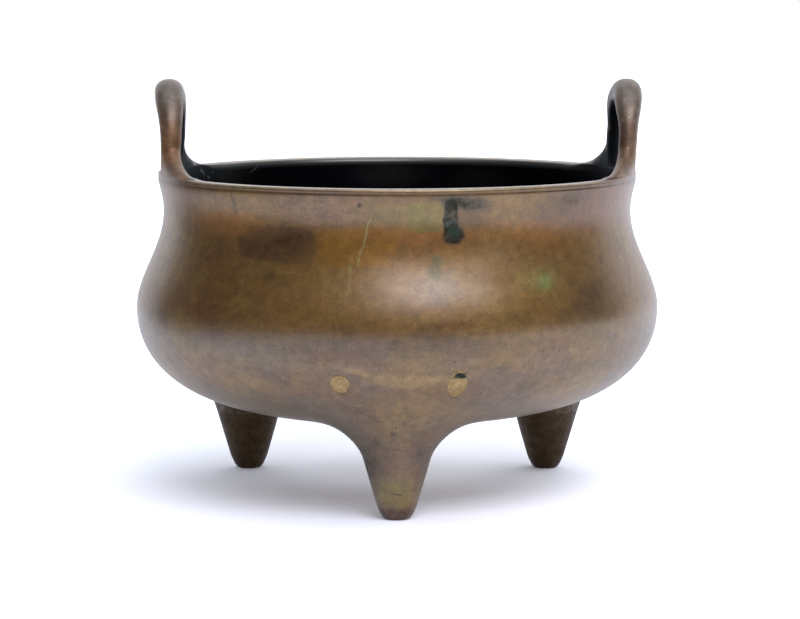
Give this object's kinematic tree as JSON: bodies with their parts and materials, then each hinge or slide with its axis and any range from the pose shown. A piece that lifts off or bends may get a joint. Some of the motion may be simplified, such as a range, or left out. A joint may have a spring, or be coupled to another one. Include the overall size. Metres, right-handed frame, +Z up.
{
  "type": "tripod censer",
  "caption": "Squat round cast bronze censer: a bowl with a drawn-in neck, upright loop handles on its banded rim, and conical feet that swell out of the belly.",
  "frame": {"origin": "on the floor under the middle of the bowl", "axes": "+Z up; -Y towards the front foot and the pictured side; +X to the right handle's side"},
  "size_m": [0.2396, 0.2396, 0.1876],
  "materials": {
    "cast_bronze": "cast bronze, smoothed and polished, with an old brown patina",
    "spacer_brass": "paler yellow metal with dark pits"
  },
  "bodies": {
    "root": {"bowl": "cast_bronze", "left_handle": "cast_bronze", "right_handle": "cast_bronze", "front_foot": "cast_bronze", "rear_left_foot": "cast_bronze", "rear_right_foot": "cast_bronze", "left_spacer": "spacer_brass", "right_spacer": "spacer_brass"}
  },
  "joints": []
}
